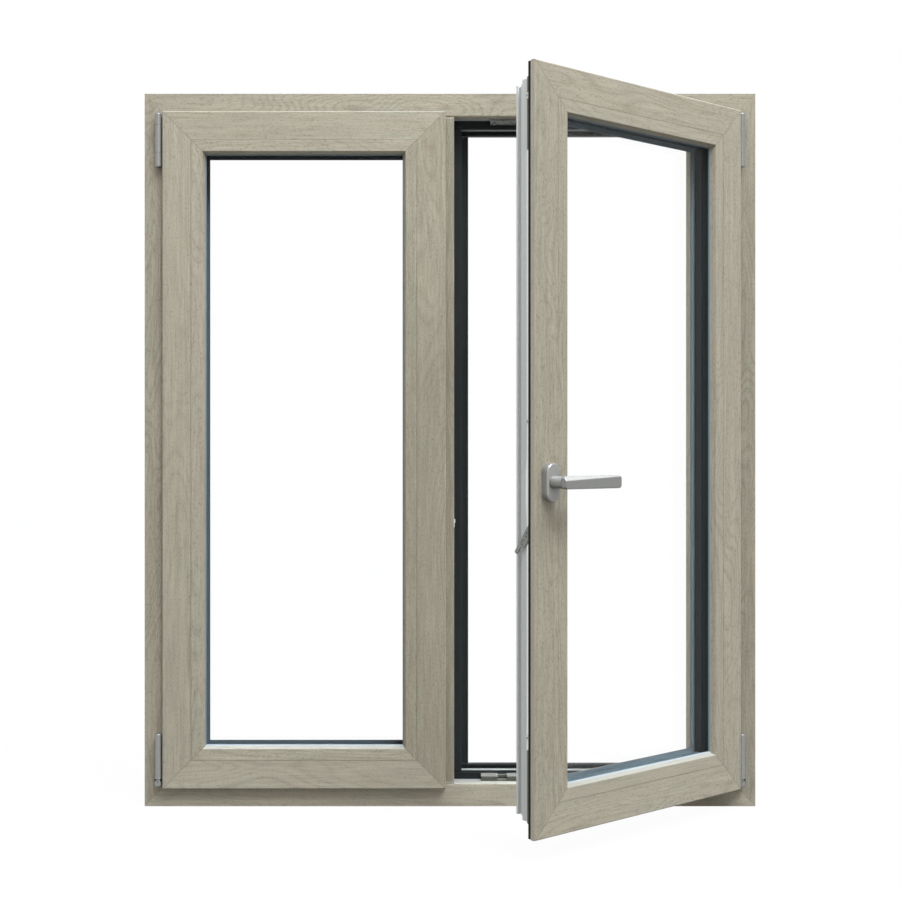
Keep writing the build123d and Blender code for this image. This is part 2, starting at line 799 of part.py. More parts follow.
cam_tip = edge_plane.offset(rail_thickness + cam_height)
out_of_edge = Axis(edge_plane.origin, edge_plane.z_dir)
with BuildPart() as cams:
    for level in [cam_level - frame_height / 2 for cam_level in cam_levels]:
        seat = rail_thickness if abs(level) < rail_half else drive_thickness
        with BuildSketch(cam_tip):
            with Locations((0, level)):
                Circle(cam_diameter / 2)
        extrude(amount=seat - rail_thickness - cam_height)
    chamfer(cams.faces().sort_by(out_of_edge)[-len(cam_levels):].edges(), cam_chamfer)
    with BuildSketch(cam_tip):
        with Locations(*[(0, cam_level - frame_height / 2) for cam_level in cam_levels]):
            RegularPolygon(cam_socket / 2, 6)
    extrude(amount=-cam_socket_depth, mode=Mode.SUBTRACT)
keep(cams.part, "roller_cams")

lifter_place = Location(
    (0, handle_height - lifter_drop - frame_height / 2, 0), (0, 0, -lifter_angle)
)
lifter_body = lifter_length - lifter_finger_length
lifter_plane = Plane(edge_plane.offset(rail_thickness).location * lifter_place)
with BuildPart() as lifter:
    with BuildSketch(lifter_plane) as lifter_sketch:
        with BuildLine():
            Polyline(
                (-lifter_back, lifter_head),
                (-lifter_back, -lifter_length),
                (lifter_finger_width - lifter_back, -lifter_length),
                (lifter_finger_width - lifter_back, -lifter_body),
                (lifter_belly - lifter_round, lifter_shoulder - lifter_body),
                (lifter_belly, -lifter_head),
                (lifter_back, lifter_head),
                close=True,
            )
        make_face()
        fillet(lifter_sketch.vertices(), lifter_round)
        with Locations(*[(across, -along) for across, along in lifter_holes]):
            Circle(lifter_hole / 2, mode=Mode.SUBTRACT)
        with Locations((lifter_slot_place[0], -lifter_slot_place[1])):
            SlotOverall(lifter_slot, lifter_slot_width, rotation=90, mode=Mode.SUBTRACT)
    extrude(amount=lifter_thickness)
keep(lifter.part, "lifter_lever")

# Striker on the sill: two lipped blocks on a plate, joined at the back by a bar
striker_y = room_face + striker_front
sill_striker_length = 2 * striker_block + striker_gap
block_section = [
    (striker_y, frame_room_leg),
    (striker_y, frame_room_leg + striker_height),
    (striker_y + striker_depth - striker_lip_depth, frame_room_leg + striker_height),
    (striker_y + striker_depth - striker_lip_depth / 2, frame_room_leg + striker_height + striker_lip),
    (striker_y + striker_depth, frame_room_leg + striker_height + striker_lip),
    (striker_y + striker_depth, frame_room_leg),
]
with BuildPart() as sill_striker:
    for start in (sill_striker_x, sill_striker_x + striker_block + striker_gap):
        with BuildSketch(Plane.YZ.offset(start)):
            with BuildLine():
                Polyline(*block_section, close=True)
            make_face()
        extrude(amount=striker_block)
    block_edges = sill_striker.edges().filter_by(Axis.X).group_by(Axis.Y)[0]
    chamfer(block_edges.group_by(Axis.Z)[-1], striker_round)
    for lift, front, height in (
        (0, striker_depth, striker_plate),
        (bridge_low, bridge_depth, striker_height - bridge_low),
    ):
        with BuildSketch(Plane.XY.offset(frame_room_leg + lift)):
            with Locations((sill_striker_x, striker_y + striker_depth)):
                Rectangle(sill_striker_length, front, align=(Align.MIN, Align.MAX))
        extrude(amount=height)
keep(sill_striker.part, "sill_striker")

# Striker under the head: a wedge with a notch, held by two screws
head_ledge = frame_height - frame_room_leg
head_middle = head_striker_x + head_striker_length / 2
with BuildPart() as head_striker:
    with BuildSketch(Plane.YZ.offset(head_striker_x)):
        with BuildLine():
            Polyline(
                (striker_y, head_ledge),
                (striker_y, head_ledge - head_striker_front),
                (striker_y + striker_depth, head_ledge - head_striker_back),
                (striker_y + striker_depth, head_ledge),
                close=True,
            )
        make_face()
    extrude(amount=head_striker_length)
    with BuildSketch(Plane.XY.offset(head_ledge)):
        with Locations((head_middle, striker_y)):
            RegularPolygon(head_notch / 2, 4)
    extrude(amount=-head_striker_front, mode=Mode.SUBTRACT)
    with BuildSketch(Plane.XY.offset(head_ledge - head_striker_front)):
        for reach in (-1, 1):
            with Locations(
                (
                    head_middle + reach * (head_striker_length / 2 - screw_inset),
                    striker_y + striker_depth / 2,
                )
            ):
                Circle(screw_head / 2)
    extrude(amount=head_striker_front - head_striker_back - screw_stand)
keep(head_striker.part, "head_striker")
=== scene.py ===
import bmesh
import bpy
from math import cos, pi, radians, sin
from mathutils import Matrix, Vector


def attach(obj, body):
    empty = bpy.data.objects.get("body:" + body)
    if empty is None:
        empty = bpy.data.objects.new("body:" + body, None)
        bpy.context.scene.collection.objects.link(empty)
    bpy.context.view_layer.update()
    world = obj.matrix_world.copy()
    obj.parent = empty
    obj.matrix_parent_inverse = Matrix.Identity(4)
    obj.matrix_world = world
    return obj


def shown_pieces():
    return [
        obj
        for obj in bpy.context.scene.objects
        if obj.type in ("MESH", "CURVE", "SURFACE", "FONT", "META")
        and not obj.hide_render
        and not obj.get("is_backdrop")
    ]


# Two-leaf plastic window with a printed oak foil, seen from the room. Lengths are in metres.
# X runs along the wall, Y from the room to the outside, Z up.
MM = 0.001

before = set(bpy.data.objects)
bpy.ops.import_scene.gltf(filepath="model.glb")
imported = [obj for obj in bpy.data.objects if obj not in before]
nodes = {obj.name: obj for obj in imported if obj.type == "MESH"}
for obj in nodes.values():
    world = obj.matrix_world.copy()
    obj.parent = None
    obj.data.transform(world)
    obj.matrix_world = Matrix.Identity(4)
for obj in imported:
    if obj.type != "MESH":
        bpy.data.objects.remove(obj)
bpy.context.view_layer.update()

# Sizes that the finishes follow
WINDOW_WIDTH = 1200 * MM
WINDOW_HEIGHT = 1400 * MM
ROOM_FACE = -38 * MM
LEAF_FACE = -54 * MM
LEAF_HEIGHT = 1325 * MM
PASSIVE_WIDTH = 554.1 * MM
PASSIVE_MIDDLE = -285.45 * MM
ACTIVE_WIDTH = 562.5 * MM
HINGE_PIN = Vector((571 * MM, -48 * MM, 0))
PIN_TO_EDGE = 8.5 * MM
PIN_TO_FACE = 6 * MM
OPENING = radians(41)
MULLION_SIDE = 8 * MM

# Places in a bar's section: how far in from its outer side, or how deep from its room face
SIDE_SKIN = 0.5 * MM
OUTER_FOIL_DEPTH = 75.6 * MM
LEG_DEPTH = 62 * MM
GROOVE_DEPTH = 67 * MM
GROOVE_HALF_WIDTH = 3.9 * MM
GROOVE_FROM = 28.2 * MM
GROOVE_TO = 31 * MM
GLASS_SEALS_FROM = 40 * MM
GASKET_LIP_DEPTH = 12 * MM

# The weld's tint, from a mitre to where it starts to fade and to where it ends
WELD_FULL_TO = 0.5 * MM
WELD_ENDS_AT = 1.1 * MM

# The oak print: how many of each figure a metre across the grain holds, how many times longer than
# wide they are drawn, and how far along the print each bar is cut from the last, in metres
FIBRES_PER_METRE = 400
STREAKS_PER_METRE = 120
BANDS_PER_METRE = 40
PATCHES_PER_METRE = 8
PITS_PER_METRE = 520
RINGS_PER_NOISE = 90
RING_STRETCH = 5
FIBRE_STRETCH = 24
PIT_STRETCH = 2.5
PRINT_STEP = 3.1

# Light: the sky's strength at eye level in front and behind, how many times that is added overhead,
# and the floor's glow as the camera sees it
SKY_IN_FRONT = 0.33
SKY_BEHIND = 0.22
SKY_RISE = 4
FLOOR_GLOW = 1.135
FLOOR_GLOW_SHARE = 0.85

# Camera: level with the window's middle, in the room
CAMERA_AWAY = 2838 * MM
camera_data = bpy.data.cameras.new("camera")
camera_data.sensor_width = 36
camera_data.lens = 57
camera = bpy.data.objects.new("camera", camera_data)
bpy.context.collection.objects.link(camera)
camera.location = (0, -CAMERA_AWAY, WINDOW_HEIGHT / 2)
camera.rotation_euler = (pi / 2, 0, 0)
bpy.context.scene.camera = camera
bpy.context.scene.view_settings.view_transform = "Standard"

# The extruded PVC under the foil: white on a leaf, and in the frame's rebates greyer with painted shade, as
# in the photo
WHITE_CORE = "DFDFDA"
PAINTED_SHADE_CORE = "A6A9A8"


def paint(code):
    """An sRGB hex colour as linear values."""
    values = [int(code[i : i + 2], 16) / 255 for i in (0, 2, 4)]
    linear = [v / 12.92 if v <= 0.04045 else ((v + 0.055) / 1.055) ** 2.4 for v in values]
    return (*linear, 1)


WHITE = paint("FFFFFF")


def add_node(tree, kind, feeds=None, **settings):
    """Add a node, give it its settings, and feed or set its inputs."""
    made = tree.nodes.new(kind)
    for name, value in settings.items():
        setattr(made, name, value)
    for socket, source in (feeds or {}).items():
        if isinstance(source, bpy.types.Node):
            source = source.outputs[0]
        if isinstance(source, bpy.types.NodeSocket):
            tree.links.new(source, made.inputs[socket])
        else:
            made.inputs[socket].default_value = source
    return made


def looks_up(tree):
    """How far the surface looks up: 1 for a ledge, 0 for a wall, -1 for an underside."""
    normal = add_node(tree, "ShaderNodeTexCoord").outputs["Normal"]
    return add_node(tree, "ShaderNodeSeparateXYZ", {0: normal}).outputs["Z"]


def place_in_section(tree, origin, turn):
    """The shaded point from a bar's outer edge: X inward, Y deep, Z along the bar."""
    world_place = add_node(tree, "ShaderNodeTexCoord").outputs["Object"]
    return add_node(
        tree,
        "ShaderNodeMapping",
        {"Vector": world_place, "Location": origin, "Rotation": turn},
        vector_type="TEXTURE",
    )


def new_finish(name, **shader):
    """A material with one shader, whose even values are set on its own sockets."""
    material = bpy.data.materials.new(name)
    material.use_nodes = True
    tree = material.node_tree
    surface = tree.nodes["Principled BSDF"]
    for socket, value in shader.items():
        surface.inputs[socket.replace("_", " ")].default_value = value
    return material, tree, surface


def edges_of(origin, across, deep, up, width, height):
    """Frames on a leaf's four outer edges: X inward, Y deep, Z along; with half the length."""
    frames = {}
    for name, inward, reach, length in (
        ("top", -up, height / 2, width),
        ("bottom", up, height / 2, width),
        ("left", across, width / 2, height),
        ("right", -across, width / 2, height),
    ):
        turn = Matrix((inward, deep, inward.cross(deep))).transposed().to_euler()
        frames[name] = (origin - inward * reach, turn, length / 2)
    return frames


UP = Vector((0, 0, 1))
ACROSS = Vector((1, 0, 0))
DEEP = Vector((0, 1, 0))
active_across = Vector((cos(OPENING), sin(OPENING), 0))
active_deep = Vector((-sin(OPENING), cos(OPENING), 0))
active_middle = (
    HINGE_PIN
    + UP * (WINDOW_HEIGHT / 2)
    - active_across * (PIN_TO_EDGE + ACTIVE_WIDTH / 2)
    - active_deep * PIN_TO_FACE
)
passive_middle = Vector((PASSIVE_MIDDLE, LEAF_FACE, WINDOW_HEIGHT / 2))
frame_middle = Vector((0, ROOM_FACE, WINDOW_HEIGHT / 2))
frame_edges = edges_of(frame_middle, ACROSS, DEEP, UP, WINDOW_WIDTH, WINDOW_HEIGHT)
passive_edges = edges_of(passive_middle, ACROSS, DEEP, UP, PASSIVE_WIDTH, LEAF_HEIGHT)
active_edges = edges_of(active_middle, active_across, active_deep, UP, ACTIVE_WIDTH, LEAF_HEIGHT)


def build_oak_foil():
    """Printed oak foil on a white core, drawn from a place in the bar's section, with painted light and
    shade.
    """
    tree = bpy.data.node_groups.new("oak_foil", "ShaderNodeTree")
    for name, kind in (
        ("Place", "NodeSocketVector"),
        ("Shift", "NodeSocketVector"),
        ("Half Length", "NodeSocketFloat"),
        ("Room Wrap", "NodeSocketFloat"),
        ("Side Wrap", "NodeSocketFloat"),
        ("Leg From", "NodeSocketFloat"),
        ("Weld", "NodeSocketFloat"),
        ("Dark Leg", "NodeSocketFloat"),
        ("Paler", "NodeSocketFloat"),
        ("Core", "NodeSocketColor"),
    ):
        tree.interface.new_socket(name, in_out="INPUT", socket_type=kind)
    for name, kind in (
        ("Color", "NodeSocketColor"),
        ("Roughness", "NodeSocketFloat"),
        ("Height", "NodeSocketFloat"),
    ):
        tree.interface.new_socket(name, in_out="OUTPUT", socket_type=kind)
    given = add_node(tree, "NodeGroupInput").outputs

    apart = add_node(tree, "ShaderNodeSeparateXYZ", {0: given["Place"]}).outputs
    inward, depth, along = apart["X"], apart["Y"], apart["Z"]
    on_side = add_node(tree, "ShaderNodeMath", {0: inward, 1: SIDE_SKIN}, operation="LESS_THAN")
    # the grain runs along Z; each bar is cut from another part of the print
    moved = add_node(tree, "ShaderNodeVectorMath", {0: given["Place"], 1: given["Shift"]}, operation="ADD")
    ring_grain, long_grain, short_grain = (
        add_node(tree, "ShaderNodeVectorMath", {0: moved, 1: (1, 1, 1 / stretch)}, operation="MULTIPLY")
        for stretch in (RING_STRETCH, FIBRE_STRETCH, PIT_STRETCH)
    )
    # growth rings: level lines of a slow noise, about 4 mm apart, which close into arches
    slow = add_node(
        tree,
        "ShaderNodeTexNoise",
        {"Vector": ring_grain, "Scale": PATCHES_PER_METRE, "Detail": 2, "Roughness": 0.45, "Distortion": 0.4},
    )
    counted = add_node(tree, "ShaderNodeMath", {0: slow, 1: RINGS_PER_NOISE}, operation="MULTIPLY")
    ringed = add_node(tree, "ShaderNodeMath", {0: counted, 1: 1}, operation="PINGPONG")
    thin_ring = add_node(tree, "ShaderNodeMath", {0: ringed, 1: 3}, operation="POWER")
    # the print fades from figured to plain in patches about 120 mm wide
    patch = add_node(
        tree, "ShaderNodeTexNoise", {"Vector": ring_grain, "Scale": PATCHES_PER_METRE, "Detail": 1}
    )
    figured = add_node(
        tree, "ShaderNodeMapRange", {"Value": patch, "From Min": 0.38, "From Max": 0.6, "To Min": 0.25}
    )
    ring = add_node(tree, "ShaderNodeMath", {0: thin_ring, 1: figured}, operation="MULTIPLY")
    # fibres, 2.5 mm wide and 60 mm long: the real ones are finer and wouldn't show
    fibre = add_node(
        tree,
        "ShaderNodeTexNoise",
        {"Vector": long_grain, "Scale": FIBRES_PER_METRE, "Detail": 2, "Roughness": 0.6},
    )
    # streaks, 8 mm wide
    streak = add_node(
        tree, "ShaderNodeTexNoise", {"Vector": long_grain, "Scale": STREAKS_PER_METRE, "Detail": 2}
    )
    # bands of beige and grey-green, 25 mm wide
    band = add_node(
        tree, "ShaderNodeTexNoise", {"Vector": ring_grain, "Scale": BANDS_PER_METRE, "Detail": 1}
    )
    # emboss: pits 2 mm wide, coarser than the real ones so that they show
    pits = add_node(
        tree, "ShaderNodeTexNoise", {"Vector": short_grain, "Scale": PITS_PER_METRE, "Detail": 1}
    )
    pore = add_node(tree, "ShaderNodeMapRange", {"Value": pits, "From Min": 0.55, "From Max": 0.75})

    # how much each figure lightens or darkens the print; the bar's side gets painted light, so that it reads
    # paler, as in the photo
    tone = given["Paler"]
    for figure, share in (
        (fibre, 0.78),
        (streak, 0.5),
        (patch, 0.22),
        (ring, -0.3),
        (pore, -0.5),
        (on_side, 0.45),
    ):
        tone = add_node(tree, "ShaderNodeMath", {0: figure, 1: share, 2: tone}, operation="MULTIPLY_ADD")
    oak = add_node(
        tree, "ShaderNodeMixRGB", {"Fac": tone, "Color1": paint("6B6250"), "Color2": paint("C5BCA9")}
    )
    turn = add_node(tree, "ShaderNodeMapRange", {"Value": band, "From Min": 0.38, "From Max": 0.62})
    tint = add_node(
        tree, "ShaderNodeMixRGB", {"Fac": turn, "Color1": paint("A99F8B"), "Color2": paint("A29E8B")}
    )
    oak = add_node(tree, "ShaderNodeMixRGB", {"Fac": 0.4, "Color1": oak, "Color2": tint})
    # bevels and ledges that look up are painted greyer and paler: a painted reflection of the sky, as in the
    # photo
    upward = add_node(
        tree, "ShaderNodeMapRange", {"Value": looks_up(tree), "From Min": 0.2, "From Max": 0.8}
    )
    greyer = add_node(tree, "ShaderNodeMath", {0: upward, 1: 0.6}, operation="MULTIPLY")
    oak = add_node(tree, "ShaderNodeMixRGB", {"Fac": greyer, "Color1": oak, "Color2": paint("A9AAA4")})

    # where the foil lies: the room side, the outer side, and the edge of the outer leg
    off_side = add_node(tree, "ShaderNodeMath", {0: 1, 1: on_side}, operation="SUBTRACT")
    near_side = add_node(tree, "ShaderNodeMath", {0: depth, 1: given["Side Wrap"]}, operation="LESS_THAN")
    near_room = add_node(tree, "ShaderNodeMath", {0: depth, 1: given["Room Wrap"]}, operation="LESS_THAN")
    side_foil = add_node(tree, "ShaderNodeMath", {0: on_side, 1: near_side}, operation="MULTIPLY")
    room_foil = add_node(tree, "ShaderNodeMath", {0: off_side, 1: near_room}, operation="MULTIPLY")
    outer_foil = add_node(tree, "ShaderNodeMath", {0: depth, 1: OUTER_FOIL_DEPTH}, operation="GREATER_THAN")
    past_leg = add_node(tree, "ShaderNodeMath", {0: inward, 1: given["Leg From"]}, operation="GREATER_THAN")
    leg_deep = add_node(tree, "ShaderNodeMath", {0: depth, 1: LEG_DEPTH}, operation="GREATER_THAN")
    leg_foil = add_node(tree, "ShaderNodeMath", {0: past_leg, 1: leg_deep}, operation="MULTIPLY")
    foil = add_node(tree, "ShaderNodeMath", {0: side_foil, 1: room_foil}, operation="MAXIMUM")
    foil = add_node(tree, "ShaderNodeMath", {0: foil, 1: outer_foil}, operation="MAXIMUM")
    foil = add_node(tree, "ShaderNodeMath", {0: foil, 1: leg_foil}, operation="MAXIMUM")
    # the bare core has a faint streak along the bar, and painted shade makes it greyer where it looks up, as
    # on the sill
    core_streak = add_node(tree, "ShaderNodeMapRange", {"Value": streak, "To Min": 0.97, "To Max": 1.03})
    bare = add_node(
        tree, "ShaderNodeMixRGB", {"Fac": on_side, "Color1": given["Core"], "Color2": paint(WHITE_CORE)}
    )
    bare = add_node(tree, "ShaderNodeMixRGB", {"Fac": upward, "Color1": bare, "Color2": paint("9FA19E")})
    core = add_node(tree, "ShaderNodeVectorMath", {0: bare, 1: core_streak}, operation="MULTIPLY")
    shade = add_node(tree, "ShaderNodeMixRGB", {"Fac": foil, "Color1": core, "Color2": oak})
    # the frame's outer leg carries black rubber over its edge
    inner_leg = add_node(tree, "ShaderNodeMath", {0: leg_foil, 1: outer_foil}, operation="SUBTRACT")
    black_leg = add_node(tree, "ShaderNodeMath", {0: inner_leg, 1: given["Dark Leg"]}, operation="MULTIPLY")
    black_leg = add_node(tree, "ShaderNodeMath", {0: black_leg, 1: 0}, operation="MAXIMUM")
    shade = add_node(
        tree, "ShaderNodeMixRGB", {"Fac": black_leg, "Color1": shade, "Color2": paint("1A1D1D")}
    )
    # painted shade makes the hardware groove along a leaf's outer edge greyer, as in the photo
    from_groove = add_node(tree, "ShaderNodeMath", {0: depth, 1: GROOVE_DEPTH}, operation="SUBTRACT")
    from_groove = add_node(tree, "ShaderNodeMath", {0: from_groove}, operation="ABSOLUTE")
    at_groove = add_node(
        tree, "ShaderNodeMath", {0: from_groove, 1: GROOVE_HALF_WIDTH}, operation="LESS_THAN"
    )
    groove_in = add_node(tree, "ShaderNodeMath", {0: inward, 1: GROOVE_FROM}, operation="GREATER_THAN")
    groove_out = add_node(tree, "ShaderNodeMath", {0: inward, 1: GROOVE_TO}, operation="LESS_THAN")
    groove = add_node(tree, "ShaderNodeMath", {0: groove_in, 1: groove_out}, operation="MULTIPLY")
    groove = add_node(tree, "ShaderNodeMath", {0: groove, 1: at_groove}, operation="MULTIPLY")
    shade = add_node(tree, "ShaderNodeMixRGB", {"Fac": groove, "Color1": shade, "Color2": paint("B0B4B5")})

    # weld line: a thin dark tint where two bars meet in a mitre
    past_middle = add_node(tree, "ShaderNodeMath", {0: along}, operation="ABSOLUTE")
    to_end = add_node(tree, "ShaderNodeMath", {0: given["Half Length"], 1: past_middle}, operation="SUBTRACT")
    to_mitre = add_node(tree, "ShaderNodeMath", {0: to_end, 1: inward}, operation="SUBTRACT")
    weld = add_node(
        tree,
        "ShaderNodeMapRange",
        {
            "Value": to_mitre,
            "From Min": WELD_FULL_TO,
            "From Max": WELD_ENDS_AT,
            "To Min": given["Weld"],
            "To Max": 0,
        },
    )
    weld = add_node(tree, "ShaderNodeMath", {0: weld, 1: foil}, operation="MULTIPLY")
    shade = add_node(tree, "ShaderNodeMixRGB", {"Fac": weld, "Color1": shade, "Color2": paint("5F5645")})

    rough = add_node(tree, "ShaderNodeMath", {0: fibre, 1: 0.14, 2: 0.46}, operation="MULTIPLY_ADD")
    raised = add_node(tree, "ShaderNodeMath", {0: pore, 1: -0.6, 2: fibre}, operation="MULTIPLY_ADD")
    height = add_node(tree, "ShaderNodeMath", {0: raised, 1: foil}, operation="MULTIPLY")
    add_node(tree, "NodeGroupOutput", {"Color": shade, "Roughness": rough, "Height": height})
    return tree


oak_foil = build_oak_foil()


def foil_finish(name, edge, shift, paler, core, room_wrap, side_wrap, leg_from, weld, dark_leg):
    """Oak foil on extruded PVC: satin, with a shallow embossed grain that breaks up the gloss."""
    origin, turn, half = edge
    material, tree, surface = new_finish(name, IOR=1.5)
    place = place_in_section(tree, origin, turn)
    foil = add_node(tree, "ShaderNodeGroup", node_tree=oak_foil)
    tree.links.new(place.outputs[0], foil.inputs["Place"])
    for socket, value in (
        ("Shift", (shift, shift * 0.37, shift * 0.71)),
        ("Half Length", half),
        ("Room Wrap", room_wrap),
        ("Side Wrap", side_wrap),
        ("Leg From", leg_from),
        ("Weld", weld),
        ("Dark Leg", dark_leg),
        ("Paler", paler),
        ("Core", paint(core)),
    ):
        foil.inputs[socket].default_value = value
    bump = add_node(
        tree, "ShaderNodeBump", {"Height": foil.outputs["Height"], "Strength": 0.5, "Distance": 0.2 * MM}
    )
    tree.links.new(foil.outputs["Color"], surface.inputs["Base Color"])
    tree.links.new(foil.outputs["Roughness"], surface.inputs["Roughness"])
    tree.links.new(bump.outputs[0], surface.inputs["Normal"])
    return material


def dress(name, material):
    """Give a carried-over piece its finish."""
    mesh = nodes[name].data
    mesh.materials.clear()
    mesh.materials.append(material)


# How far the foil wraps each kind of bar, and where its outer leg starts
FRAME_WRAP = dict(
    # the bare core of the frame carries painted shade
    core=PAINTED_SHADE_CORE,
    room_wrap=16 * MM,
    side_wrap=4 * MM,
    leg_from=66 * MM,
    weld=0.1,
    dark_leg=1,
)
LEAF_WRAP = dict(
    core=WHITE_CORE,
    room_wrap=11.6 * MM,
    side_wrap=11.6 * MM,
    leg_from=60 * MM,
    weld=0.5,
    dark_leg=0,
)
# the mullion is all leg where it is deep, and isn't welded
MULLION_WRAP = dict(
    # the bare core of the mullion carries painted shade
    core=PAINTED_SHADE_CORE,
    room_wrap=16 * MM,
    side_wrap=16 * MM,
    leg_from=-100 * MM,
    weld=0,
    dark_leg=1,
)
# each bar has its own average tone, read from the photo: partly the print's tone and partly painted shade,
# most on the mullion and the shut leaf's free stile, which the leaves shade
cut = 0
for side, name, paler in (
    ("top", "frame_head", -0.27),
    ("bottom", "frame_sill", -0.08),
    ("left", "frame_jamb_left", -0.34),
    ("right", "frame_jamb_right", -0.34),
):
    cut += PRINT_STEP
    dress(name, foil_finish(f"oak_foil_{name}", frame_edges[side], cut, paler, **FRAME_WRAP))
for leaf, edges, hinge_side, free_side, free_paler in (
    ("passive", passive_edges, "left", "right", -0.36),
    ("active", active_edges, "right", "left", -0.22),
):
    for side, rail, bead, paler in (
        ("top", "top_rail", "top_bead", -0.16),
        ("bottom", "bottom_rail", "bottom_bead", -0.01),
        (hinge_side, "hinge_stile", "hinge_bead", -0.15),
        (free_side, "free_stile", "free_bead", free_paler),
    ):
        for piece in (rail, bead):
            cut += PRINT_STEP
            name = f"{leaf}_{piece}"
            dress(name, foil_finish(f"oak_foil_{name}", edges[side], cut, paler, **LEAF_WRAP))
# the mullion's low tone is mostly painted shade between the leaves
mullion_turn = Matrix((-ACROSS, DEEP, -UP)).transposed().to_euler()
mullion_edge = (Vector((MULLION_SIDE, ROOM_FACE, WINDOW_HEIGHT / 2)), mullion_turn, WINDOW_HEIGHT)
cut += PRINT_STEP
dress("floating_mullion", foil_finish("oak_foil_mullion", mullion_edge, cut, -0.53, **MULLION_WRAP))


def plain_finish(name, code, mottle, scale, rough, above=None, turns=(0, 1), soft_edge=0, **shader):
    """A moulded, drawn or cast finish: a slight mottle in tone and gloss, and a colour for what looks up,
    which paints light or shade.

    The mottle's scale is its spots per metre. The upper colour comes in between the two turns, from a
    wall's, 0, to a ledge's, 1. A soft edge is the radius at which a cast edge is rounded.
    """
    material, tree, surface = new_finish(name, **shader)
    place = add_node(tree, "ShaderNodeTexCoord").outputs["Object"]
    spot = add_node(tree, "ShaderNodeTexNoise", {"Vector": place, "Scale": scale, "Detail": 3})
    colour = add_node(
        tree, "ShaderNodeMixRGB", {"Fac": spot, "Color1": paint(code), "Color2": paint(mottle)}
    )
    if above:
        upward = add_node(
            tree,
            "ShaderNodeMapRange",
            {"Value": looks_up(tree), "From Min": turns[0], "From Max": turns[1]},
        )
        colour = add_node(
            tree, "ShaderNodeMixRGB", {"Fac": upward, "Color1": colour, "Color2": paint(above)}
        )
    gloss = add_node(
        tree, "ShaderNodeMapRange", {"Value": spot, "To Min": rough - 0.05, "To Max": rough + 0.05}
    )
    bump = add_node(tree, "ShaderNodeBump", {"Height": spot, "Strength": 0.15, "Distance": 0.1 * MM})
    if soft_edge:
        eased = add_node(tree, "ShaderNodeBevel", {"Radius": soft_edge}, samples=8)
        tree.links.new(eased.outputs[0], bump.inputs["Normal"])
    tree.links.new(colour.outputs[0], surface.inputs["Base Color"])
    tree.links.new(gloss.outputs[0], surface.inputs["Roughness"])
    tree.links.new(bump.outputs[0], surface.inputs["Normal"])
    return material


# extruded rubber, EPDM: matt and near black, with a weak gloss
BLACK_RUBBER = dict(code="1C2020", mottle="242828", scale=900, rough=0.68, IOR=1.5, Specular_IOR_Level=0.15)


def leaf_seal_finish(name, edges):
    """Extruded rubber: matt black on the flange, bluish grey round the glass."""
    material = plain_finish(name, **BLACK_RUBBER)
    tree = material.node_tree
    surface = tree.nodes["Principled BSDF"]
    flange = surface.inputs["Base Color"].links[0].from_socket
    origin, turn, half = edges["bottom"]
    place = place_in_section(tree, origin, turn)
    apart = add_node(tree, "ShaderNodeSeparateXYZ", {0: place}).outputs
    above = apart["X"]
    below = add_node(tree, "ShaderNodeMath", {0: LEAF_HEIGHT, 1: above}, operation="SUBTRACT")
    past_middle = add_node(tree, "ShaderNodeMath", {0: apart["Z"]}, operation="ABSOLUTE")
    aside = add_node(tree, "ShaderNodeMath", {0: half, 1: past_middle}, operation="SUBTRACT")
    inset = add_node(tree, "ShaderNodeMath", {0: above, 1: below}, operation="MINIMUM")
    inset = add_node(tree, "ShaderNodeMath", {0: inset, 1: aside}, operation="MINIMUM")
    at_glass = add_node(tree, "ShaderNodeMath", {0: inset, 1: GLASS_SEALS_FROM}, operation="GREATER_THAN")
    # the gasket's room lip is painted paler, as a thin line round the bead, and paler still where it looks
    # up: painted light
    on_lip = add_node(tree, "ShaderNodeMath", {0: apart["Y"], 1: GASKET_LIP_DEPTH}, operation="LESS_THAN")
    lip = add_node(
        tree,
        "ShaderNodeMixRGB",
        {"Fac": looks_up(tree), "Color1": paint("7B868C"), "Color2": paint("C3CBD3")},
        use_clamp=True,
    )
    gasket = add_node(tree, "ShaderNodeMixRGB", {"Fac": on_lip, "Color1": paint("73828A"), "Color2": lip})
    colour = add_node(tree, "ShaderNodeMixRGB", {"Fac": at_glass, "Color1": flange, "Color2": gasket})
    tree.links.new(colour.outputs[0], surface.inputs["Base Color"])
    return material


# the frame's rubber: the rebates read as dark lines
frame_rubber = plain_finish("extruded_black_rubber", **BLACK_RUBBER)
# polymer edge spacer: a dull band behind the glass, with painted light where it looks up, blue-grey,
# and a darker copy in the open leaf as painted shade, as in the photo
SPACER = dict(scale=600, rough=0.6, IOR=1.5, Specular_IOR_Level=0.15)
shut_spacer = plain_finish(
    "moulded_spacer_shut_leaf", "566060", "5E6867", above="879193", turns=(-1, 1), **SPACER
)
open_spacer = plain_finish("moulded_spacer_open_leaf", "1A2223", "202829", above="4A575C", **SPACER)
# silver lacquer on die-cast zinc: satin grey, with soft upright highlights on the barrels
hinge_lacquer = plain_finish("silver_lacquered_zinc", "8F908D", "939491", 1200, 0.26, Metallic=0.6)
# silver lacquer on die-cast aluminium: smooth grey, with a painted highlight where it faces up
handle_lacquer = plain_finish(
    "silver_lacquered_aluminium",
    "848481",
    "8B8B88",
    1500,
    0.28,
    above="BCBCBA",
    turns=(0.1, 0.9),
    soft_edge=3 * MM,
    Metallic=0.5,
)
# the rosette's cover has the same lacquer, less polished, in a paler copy that is painted light
rosette_lacquer = plain_finish(
    "silver_lacquered_cover", "959491", "9D9C99", 1500, 0.34, soft_edge=1.5 * MM, Metallic=0.4
)
